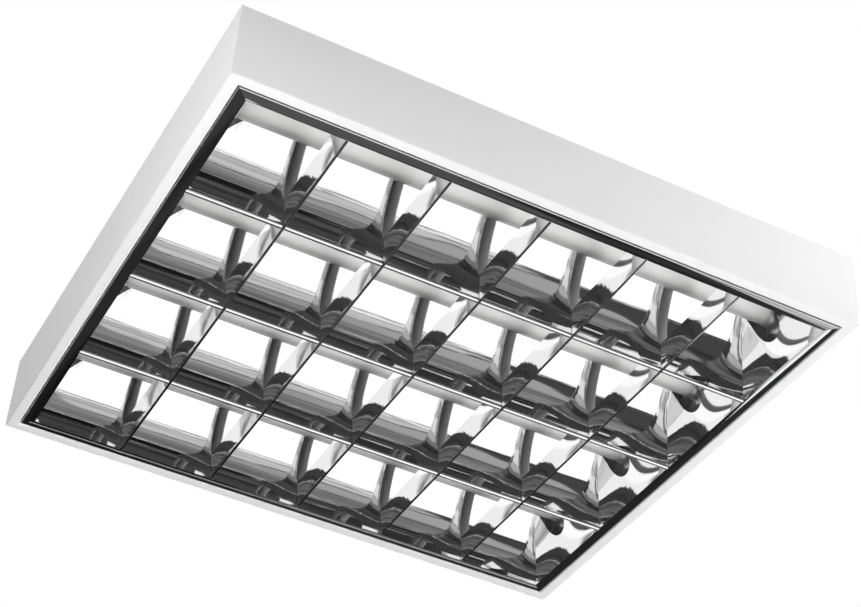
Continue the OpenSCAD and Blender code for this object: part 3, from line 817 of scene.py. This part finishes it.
def end_mirror(y):
    """A whole end reflector at the left end, in the row at y."""
    sheet = join(end_mirror_half(), turned(end_mirror_half(), MIRROR_Y))
    bmesh.ops.remove_doubles(sheet, verts=sheet.verts, dist=TINY_EDGE)
    bmesh.ops.dissolve_degenerate(sheet, dist=TINY_EDGE, edges=sheet.edges)
    bmesh.ops.recalc_face_normals(sheet, faces=sheet.faces)
    bmesh.ops.translate(sheet, vec=(-CELL_X, y, 0), verts=sheet.verts)
    return walled(facing(sheet, Vector((1, 0, 0))), MIRROR)


for side, matrix in LEFT_RIGHT.items():
    ends = join(*[turned(end_mirror(y), matrix) for y in ROW_Y])
    add_piece(f"end_mirrors_{side}", ends, "louvre", MIRROR_CROSS,
              f"end_reflectors_{side}")

# %% [markdown]
# ## The cross blades
#
# Five blades cross all the rows. A blade is folded like a row reflector, only smaller, with two
# tight bends at its bottom, and its two faces are also parabolas.

# %% Cross blades
EDGE_R, EDGE_STEPS, BLADE_STEPS = 0.12, 4, 24
BLADE_HALF_L = CELL_Y - GAP
half_blade = [(0.0, 0.0)]
half_blade += arc((BLADE_FOOT - EDGE_R, EDGE_R), EDGE_R, -90, 0, EDGE_STEPS)
for k in range(1, BLADE_STEPS + 1):
    share = k / BLADE_STEPS
    half_blade.append((BLADE_FOOT + BLADE_LEAN * share ** 2, EDGE_R + (BLADE_H - EDGE_R) * share))
blade_line = [(-out, level) for out, level in reversed(half_blade)] + half_blade[1:]


def cross_blade(x):
    """A blade across all the rows, at x."""
    def place(column, row):
        out, level = blade_line[row]
        return (x + out, (BLADE_HALF_L if column else -BLADE_HALF_L), level - BODY_H)

    return walled(facing(bent_sheet(2, len(blade_line), place), DOWN), MIRROR)


for i, x in enumerate(BLADE_X, 1):
    add_piece(f"blade_mirror_{i}", cross_blade(x), "louvre",
              MIRROR_CROSS, f"cross_blade_{i}")

# %% [markdown]
# ## The lamps
#
# A tube lamp is a glass tube that draws in a little at each end, where a metal cap is cemented
# on. Both are round, so both are a profile spun about the lamp's axis. A cap has a rolled edge
# and two contact pins with round tips.

# %% Lamps
CAP_L, CAP_R, PIN_R, PIN_L, PIN_HALF = 14.0, 13.5, 1.15, 7.0, 6.35
NECK_R, GLASS_WALL = 12.2, 0.8
LAMP_STEPS, PIN_STEPS = 64, 24


def spun(profile, steps):
    """Spin a profile of (x, radius) about the X axis; radius 0 closes an end."""
    bm = bmesh.new()
    verts = [bm.verts.new((x, 0, radius)) for x, radius in profile]
    for a, b in zip(verts, verts[1:]):
        bm.edges.new((a, b))
    bmesh.ops.spin(bm, geom=bm.verts[:] + bm.edges[:], cent=(0, 0, 0), axis=(1, 0, 0),
                   angle=math.tau, steps=steps, use_merge=True)
    bmesh.ops.remove_doubles(bm, verts=bm.verts, dist=SAME_POINT)
    bmesh.ops.recalc_face_normals(bm, faces=bm.faces)
    return bm


def tube_mesh():
    """The glass tube: the section of its wall, from end to end and back, spun about the axis."""
    end = LAMP_L / 2 - 0.5
    neck = LAMP_L / 2 - CAP_L
    outer = [(end, NECK_R), (neck + 1.0, NECK_R), (neck - 0.6, 12.5), (neck - 2.2, 12.9),
             (neck - 4.0, TUBE_R)]
    inner = [(x, radius - GLASS_WALL) for x, radius in outer]
    loop = [(-x, r) for x, r in outer] + outer[::-1] + inner + [(-x, r) for x, r in inner[::-1]]
    return spun(loop + loop[:1], LAMP_STEPS)


def cap_mesh():
    """One cap at the right end: shell with a rolled edge, face plate and two pins."""
    face = LAMP_L / 2
    back = face - CAP_L
    shell = spun([
        (face, 0.0), (face, 8.0), (face - 0.2, 12.2), (face - 0.9, 13.2), (face - 2.0, CAP_R),
        (back + 2.2, CAP_R), (back + 1.2, 13.25), (back + 0.7, CAP_R), (back, CAP_R - 0.1),
        (back, 13.0), (face - 1.5, 12.9), (face - 1.6, 0.0)], LAMP_STEPS)
    pins = []
    for side in (-1, 1):
        pin = spun([(face, 0.0), (face, PIN_R), (face + PIN_L - 0.5, PIN_R),
                    (face + PIN_L - 0.15, 0.8), (face + PIN_L, 0.0)], PIN_STEPS)
        bmesh.ops.translate(pin, vec=(0, side * PIN_HALF, 0), verts=pin.verts)
        pins.append(pin)
    return join(shell, *pins)


for i, y in enumerate(ROW_Y, 1):
    axis = Matrix.Translation((0, y, LAMP_LEVEL - BODY_H))
    add_piece(f"lamp_glass_{i}", turned(tube_mesh(), axis), f"lamp_{i}",
              LAMP_GLASS, f"lamp_tube_{i}")
    caps = join(turned(cap_mesh(), axis), turned(cap_mesh(), axis @ MIRROR_X))
    add_piece(f"lamp_ends_{i}", caps, f"lamp_{i}", CAP_METAL,
              f"lamp_caps_{i}")

# %% [markdown]
# ## The lampholders
#
# A rotary lampholder is a plastic moulding with a round lower end. The pins of the lamp slide
# up through a slot into a rotor, and a quarter turn locks them. The front is one outline that
# runs down the slot's left wall, round the bore and out again, so no cutting is needed. The
# back half is solid, and a thinner cover closes the contact chamber against the end plate.

# %% Lampholders
HOLDER_D, HOLDER_HALF, HOLDER_BOTTOM, HOLDER_TOP = 23.8, 13.0, 44.0, 81.0
HOLDER_CORNER_R, BORE_R, BORE_D, SLOT_HALF = 10.5, 9.05, 9.7, 1.5
BACK_COVER_D, BACK_COVER_IN, MOULD_R = 3.0, 0.7, 0.45
CORNER_STEPS, BORE_STEPS = 8, 32


def holder_outline(inset=0.0, slot=False):
    """The front outline (y, level), with or without the slot and the rotor's bore."""
    half, low, radius = HOLDER_HALF - inset, HOLDER_BOTTOM + inset, HOLDER_CORNER_R - inset
    line = [(half, HOLDER_TOP - inset), (-half, HOLDER_TOP - inset)]
    line += arc((radius - half, low + radius), radius, 180, 270, CORNER_STEPS)
    if slot:
        open_turn = math.degrees(math.asin(SLOT_HALF / BORE_R))
        line += [(-SLOT_HALF, low)]
        line += arc((0, LAMP_LEVEL), BORE_R, -90 - open_turn, -450 + open_turn, BORE_STEPS)
        line += [(SLOT_HALF, low)]
    return line + arc((half - radius, low + radius), radius, -90, 0, CORNER_STEPS)


def prism(outline, x, depth, soft=0.0):
    """Push an outline (y, level) back from x by a depth, and soften its front edge if asked."""
    bm = bmesh.new()
    front = bm.faces.new([bm.verts.new((x, y, level - BODY_H)) for y, level in outline])
    facing(bm, Vector((1, 0, 0)))
    rim = list(front.edges)
    pushed = bmesh.ops.extrude_face_region(bm, geom=[front], use_keep_orig=True)
    moved = [item for item in pushed["geom"] if isinstance(item, bmesh.types.BMVert)]
    bmesh.ops.translate(bm, vec=(-depth, 0, 0), verts=moved)
    bmesh.ops.recalc_face_normals(bm, faces=bm.faces)
    if soft:
        bmesh.ops.bevel(bm, geom=rim, offset=soft, segments=3, profile=0.5, affect="EDGES",
                        material=-1, clamp_overlap=True)
    return bm


def lampholder():
    """A lampholder on the left end plate, about the middle of its row."""
    face = HOLDER_D - INSIDE_X
    return join(
        prism(holder_outline(slot=True), face, BORE_D, MOULD_R),
        prism(holder_outline(), face - BORE_D, HOLDER_D - BORE_D - BACK_COVER_D),
        prism(holder_outline(BACK_COVER_IN), face - HOLDER_D + BACK_COVER_D, BACK_COVER_D))


for i, y in enumerate(ROW_Y, 1):
    row = Matrix.Translation((0, y, 0))
    for side, matrix in LEFT_RIGHT.items():
        add_piece(f"holder_{side}_{i}", turned(lampholder(), matrix @ row), "housing",
                  WHITE_PLASTIC, f"lampholder_{side}_{i}")

# %% [markdown]
# ## The ballast's cover
#
# The cover is a folded steel box with round bends. It starts as a cube without its top. The
# edges are bevelled into bends, and a long panel is pressed in to stiffen the face.

# %% Ballast cover
COVER_L, COVER_W, COVER_H, COVER_SHEET, COVER_BEND_R = 230.0, 40.0, 26.0, 0.6, 2.0
PANEL_IN, PANEL_SLOPE, PANEL_DEPTH = 9.0, 1.6, 0.8
FACE_DOWN = -0.99

box = bmesh.new()
bmesh.ops.create_cube(box, size=1)
bmesh.ops.scale(box, vec=(COVER_L, COVER_W, COVER_H), verts=box.verts)
bmesh.ops.translate(box, vec=(0, 0, -2 * SHEET - COVER_H / 2), verts=box.verts)
top = [face for face in box.faces if face.normal.z > 0]
bmesh.ops.delete(box, geom=top, context="FACES_ONLY")
folds = [edge for edge in box.edges if len(edge.link_faces) == 2]
bmesh.ops.bevel(box, geom=folds, offset=COVER_BEND_R, segments=4, profile=0.5, affect="EDGES",
                material=-1)
bottoms = [face for face in box.faces if face.normal.z < FACE_DOWN]
bottom = max(bottoms, key=lambda face: face.calc_area())
bmesh.ops.inset_region(box, faces=[bottom], thickness=PANEL_IN)
bmesh.ops.inset_region(box, faces=[bottom], thickness=PANEL_SLOPE, depth=-PANEL_DEPTH)
add_piece("ballast_box", walled(box, COVER_SHEET), "housing", GALVANISED,
          "ballast_cover")

# %% [markdown]
# ## Pieces that keep the model's shape
#
# Many small parts already have their right shape in the engineering model. Their meshes are
# loose triangles, so modifiers weld them, join the flat ones, and round their edges a little,
# because no moulded or stamped edge is perfectly sharp.

# %% Soft edges and finishes for the carried-over nodes
KEPT = {
    "white_plastic": (WHITE_PLASTIC, 0.35), "ivory_plastic": (IVORY_PLASTIC, 0.3),
    "zinc_steel": (GALVANISED, 0.15), "plain_steel": (PLATED, 0.12),
    "black_rubber": (BLACK_RUBBER, 0.3), "circuit_board": (SOLDER_MASK, 0.15),
    "white_insulation": (WHITE_SLEEVE, 0.0), "earth_insulation": (EARTH_SLEEVE, 0.0),
}
SOFTER = {
    "end_plate_rivets": 0.7, "gear_screws": 0.6, "cable_grommet": 1.0, "ballast_terminals": 0.4,
}
WELD_DIST, SOFT_STEPS = 0.00001, 2
FLAT_ANGLE, SOFT_ANGLE = math.radians(1), math.radians(40)


def dress(name, slot):
    """Give a node of the model its finish and soft edges."""
    material, width = KEPT[slot]
    width = SOFTER.get(name, width)
    node = bpy.data.objects[name]
    for holder in node.material_slots:
        holder.link = "OBJECT"
        holder.material = material
    weld = node.modifiers.new("weld", "WELD")
    weld.merge_threshold = WELD_DIST
    if width:
        flat = node.modifiers.new("flat", "DECIMATE")
        flat.decimate_type = "DISSOLVE"
        flat.angle_limit = FLAT_ANGLE
        soft = node.modifiers.new("soft", "BEVEL")
        soft.width = width * MM
        soft.segments = SOFT_STEPS
        soft.limit_method = "ANGLE"
        soft.angle_limit = SOFT_ANGLE
        soft.harden_normals = True


shown = {entry["node"]: entry["material_slot"] for entry in frame["record"]["subparts"]}
kept = [name for name in shown if name not in made_anew]
for name in kept:
    dress(name, shown[name])
print("dressed", len(kept), "nodes")

# %% [markdown]
# ## The studio
#
# The photograph was taken in a white studio with dark screens, which is what the mirrors show.
# The world is white wherever the camera, a mirror or glass looks at it, and gives a plain even
# light. The floor far below looks pale to the camera in the same way, and still takes the
# fixture's shadow. Seven soft lamps light the fixture from the sides, from below and from
# above. The screens are seen only in the mirrors.


# %% World and floor
WORLD_LIGHT, BOUNCES = 0.28, 12
FLOOR_Z, FLOOR_HALF, FLOOR_GLOW = -6.0, 20.0, 0.55


def make_world():
    """A world that is white where it is seen, and gives a weaker light."""
    world = bpy.data.worlds.new("studio")
    world.use_nodes = True
    tree = world.node_tree
    light, path = tree.nodes["Background"], tree.nodes.new("ShaderNodeLightPath")
    seen = path.outputs["Is Camera Ray"]
    for ray in ("Is Glossy Ray", "Is Transmission Ray"):
        either = tree.nodes.new("ShaderNodeMath")
        either.operation = "MAXIMUM"
        tree.links.new(seen, either.inputs[0])
        tree.links.new(path.outputs[ray], either.inputs[1])
        seen = either.outputs[0]
    strength = tree.nodes.new("ShaderNodeMapRange")
    strength.inputs["To Min"].default_value = WORLD_LIGHT
    strength.inputs["To Max"].default_value = 1.0
    tree.links.new(seen, strength.inputs["Value"])
    tree.links.new(strength.outputs["Result"], light.inputs["Strength"])
    light.inputs["Color"].default_value = (1, 1, 1, 1)
    bpy.context.scene.world = world


def studio_object(name, bm, finish):
    """Make an object of a mesh in metres, which is no piece of the fixture."""
    data = bpy.data.meshes.new(name)
    bm.to_mesh(data)
    bm.free()
    data.materials.append(finish.material)
    made = bpy.data.objects.new(name, data)
    bpy.context.collection.objects.link(made)
    return made


make_world()
bpy.context.scene.view_settings.view_transform = "Standard"
bpy.context.scene.cycles.glossy_bounces = BOUNCES

pale = Finish("pale_floor", Roughness=0.8)
pale.colour(pale.blend(pale.group(GRAIN, 40.0, "Coarse"), (0.78, 0.78, 0.78), (0.82, 0.82, 0.82)))
seen = pale.node("ShaderNodeLightPath").outputs["Is Camera Ray"]
glow = pale.number("MULTIPLY", seen, FLOOR_GLOW)
pale.shader.inputs["Emission Color"].default_value = (1, 1, 1, 1)
pale.link(glow.outputs[0], pale.shader.inputs["Emission Strength"])
floor_mesh = bmesh.new()
bmesh.ops.create_grid(floor_mesh, x_segments=1, y_segments=1, size=FLOOR_HALF)
bmesh.ops.translate(floor_mesh, vec=(0, 0, FLOOR_Z), verts=floor_mesh.verts)
floor = studio_object("floor", floor_mesh, pale)
floor.visible_glossy = floor.visible_diffuse = False

# %% [markdown]
# The screens stand far off, on a sphere around the fixture, so that a row below gives a
# direction and not a place. A row is a column of screens that hang one under the other between
# two bearings, counted from the far side towards the fixture's right. It starts at an angle
# above the horizon. Each screen in it has the angle at which it ends, and how bright it looks,
# where 1 is white. An angle is a pair where it differs at the screen's two ends. A screen
# darker than white has faint level bands, like hung cloth.

# %% Screens
SCREEN_R, SCREEN_ROWS, COLUMN_TURN = 100.0, 7, 4
DARK_BAND, LIGHT_BAND, BAND_SIZE_MM = 0.4, 1.15, 6000
BAND_STRETCH, BAND_RANGE = (0.12, 0.12, 1.0), (0.34, 0.52)
SCREENS = [
    ((-56, -2), 10, ("back_left_high", -50, 0.05), ("back_left_low", -80, 0.066)),
    ((-2, 17.35), 10, ("back_high", -37, 0.01), ("back", -41, 0.02),
     ("back_middle", -52, 0.034), ("back_low", -80, 0.05)),
    ((17.35, 37.7), 10, ("back_right_high", -25, 0.2), ("back_right", -37, 0.016)),
    ((17.35, 17.8), -37, ("mitre_high", -43.5, 0.074), ("mitre", -45.5, 0.9),
     ("mitre_low", -58, 0.074)),
    ((17.8, 32.5), -37, ("back_right_middle", -58, 0.074)),
    ((32.5, 41), (-37, -38.2), ("back_right_edge", (-56, -53), 0.03)),
    ((17.35, 60), (-58, -54), ("back_right_low", (-76, -70), 0.05)),
    ((37.7, 60), 5, ("right_high", -34, 0.022)),
    ((37.5, 53), -36, ("right_patch", -38.2, 0.75)),
    ((41, 53), -38.2, ("right_patch_low", (-53, -50), 0.45)),
    ((-180, -160), 10, ("front_far", -28, 0.055)),
    ((-160, -112), 10, ("front_left_high", (-31, -27), 0.122)),
    ((-155, -112), (-31, -27), ("front_left_dark", (-47, -36.5), 0.043)),
    ((-180, -155), -28, ("front_left_dim", (-35, -33), 0.16), ("front_left_grey", -42, 0.42)),
    ((-180, -152), -42, ("front_left_pale", -57, 0.72), ("front_left_low", -78, 0.36)),
    ((-152, -97), (-47, -35), ("left_soft_box", -51, 1.0), ("left_soft_low", (-66, -62), 0.66)),
    ((-97, -60), -36, ("left_grey", -50, 0.62)),
    ((-60, -56), -36, ("left_gap", -43, 1.1)),
    ((106, 152), -42, ("right_soft_box", -78, 1.25)),
    ((152, 167), -43, ("right_low_box", -78, 1.1)),
    ((142, 152), 5, ("right_edge", -41, 0.05)),
    ((152, 167), 5, ("front_high", -24, 0.22), ("front_grey", (-37, -26), 0.32),
     ("front_slant", (-38, -26.8), 0.08), ("front_middle", -38.9, 0.5),
     ("front_line", -39.5, 0.12), ("front_bright", -41.2, 0.85), ("front_edge", -42, 0.25)),
    ((167, 180), -5, ("front_dim", -68, 0.22)),
    ((-180, 180), -80.5, ("below", -89, 0.45)),
]


def between(ends, share):
    """A value on the way between two ends, or the value itself where both ends are the same."""
    if not isinstance(ends, tuple):
        return ends
    return ends[0] + (ends[1] - ends[0]) * share


def screen_cloth(name, level):
    """A cloth that reflects nothing and glows at its level, with bands if it isn't white."""
    cloth = Finish(name, Base_Color=(0, 0, 0, 1), Specular_IOR_Level=0, Roughness=1.0)
    dark, light = (DARK_BAND, LIGHT_BAND) if level < 1 else (1.0, 1.0)
    bands = cloth.group(STREAKS, BAND_SIZE_MM, "Lines", Stretch=BAND_STRETCH)
    mask = cloth.spread(bands, 0.0, 1.0, *BAND_RANGE)
    shade = cloth.blend(mask, (level * dark,) * 3, (level * light,) * 3)
    cloth.link(shade, cloth.shader.inputs["Emission Color"])
    cloth.shader.inputs["Emission Strength"].default_value = 1
    return cloth


def screen(name, bearings, top, bottom, level):
    """A patch of the far sphere that only mirrors see."""
    columns = max(2, int(abs(bearings[1] - bearings[0]) / COLUMN_TURN) + 1)

    def place(column, row):
        across, up = column / (columns - 1), row / (SCREEN_ROWS - 1)
        bearing = math.radians(between(bearings, across))
        rise = math.radians(between((between(bottom, across), between(top, across)), up))
        return (SCREEN_R * math.cos(rise) * math.sin(bearing),
                SCREEN_R * math.cos(rise) * math.cos(bearing), SCREEN_R * math.sin(rise))

    sheet = bent_sheet(columns, SCREEN_ROWS, place)
    made = studio_object(name, sheet, screen_cloth(name, level))
    made.visible_camera = made.visible_diffuse = made.visible_shadow = False


for bearings, top, *hung in SCREENS:
    for name, bottom, level in hung:
        screen(f"screen_{name}", bearings, top, bottom, level)
        top = bottom
print(sum(len(hung) for _, _, *hung in SCREENS), "screens")


# %% [markdown]
# The lamps are flat and large, so their shadows are soft. Each looks at the fixture and gives
# one of the photograph's fields of light: the bright corner, the paler near side, the dim far
# end. Neither the camera nor a mirror sees them. A row gives a lamp's place and size in metres
# and its power in watts.


# %% Soft lamps
SOFT_LAMPS = {
    "far": ((0.0, 2.65, -1.41), 1.2, 12.0),
    "right": ((1.60, -0.70, -2.20), 1.2, 42.0),
    "near_right": ((0.75, -0.75, -1.10), 0.6, 3.0),
    "high": ((0.80, -0.80, 0.55), 0.6, 8.5),
    "behind": ((0.0, 1.70, 1.50), 1.2, 20.0),
    "left": ((-0.85, -0.42, -0.30), 0.4, 2.8),
    "near_left": ((-0.35, -0.61, -0.84), 0.4, 1.9),
}


def soft_lamp(name, place, size, watts, target=(0, 0, 0), long=None):
    """A flat lamp at a place that looks at a target, and is long across its view if asked."""
    light = bpy.data.lights.new(name, "AREA")
    light.shape = "RECTANGLE"
    light.size, light.size_y = long or size, size
    light.energy = watts
    lamp = bpy.data.objects.new(name, light)
    lamp.location = place
    lamp.rotation_euler = (Vector(target) - Vector(place)).to_track_quat("-Z", "Y").to_euler()
    lamp.visible_camera = lamp.visible_glossy = False
    bpy.context.collection.objects.link(lamp)


for name, (place, size, watts) in SOFT_LAMPS.items():
    soft_lamp(f"lamp_{name}", place, size, watts)

# %% [markdown]
# A curved reflector also gathers light onto the near side of its own tube. A renderer finds
# such gathered light only slowly, so a weak strip lamp in front of each tube stands for it.

# %% Light from the reflectors
STRIP_OUT, STRIP_LEVEL, STRIP_AIM_LEVEL = 38.0, 43.0, 55.0
STRIP_W, STRIP_L, STRIP_WATTS = 0.02, 0.57, 0.19

for i, y in enumerate(ROW_Y, 1):
    stand = Vector((0, y - STRIP_OUT, STRIP_LEVEL - BODY_H)) * MM
    aim = Vector((0, y, STRIP_AIM_LEVEL - BODY_H)) * MM
    soft_lamp(f"gathered_{i}", stand, STRIP_W, STRIP_WATTS, aim, STRIP_L)
print(len(bpy.data.lights), "lights")
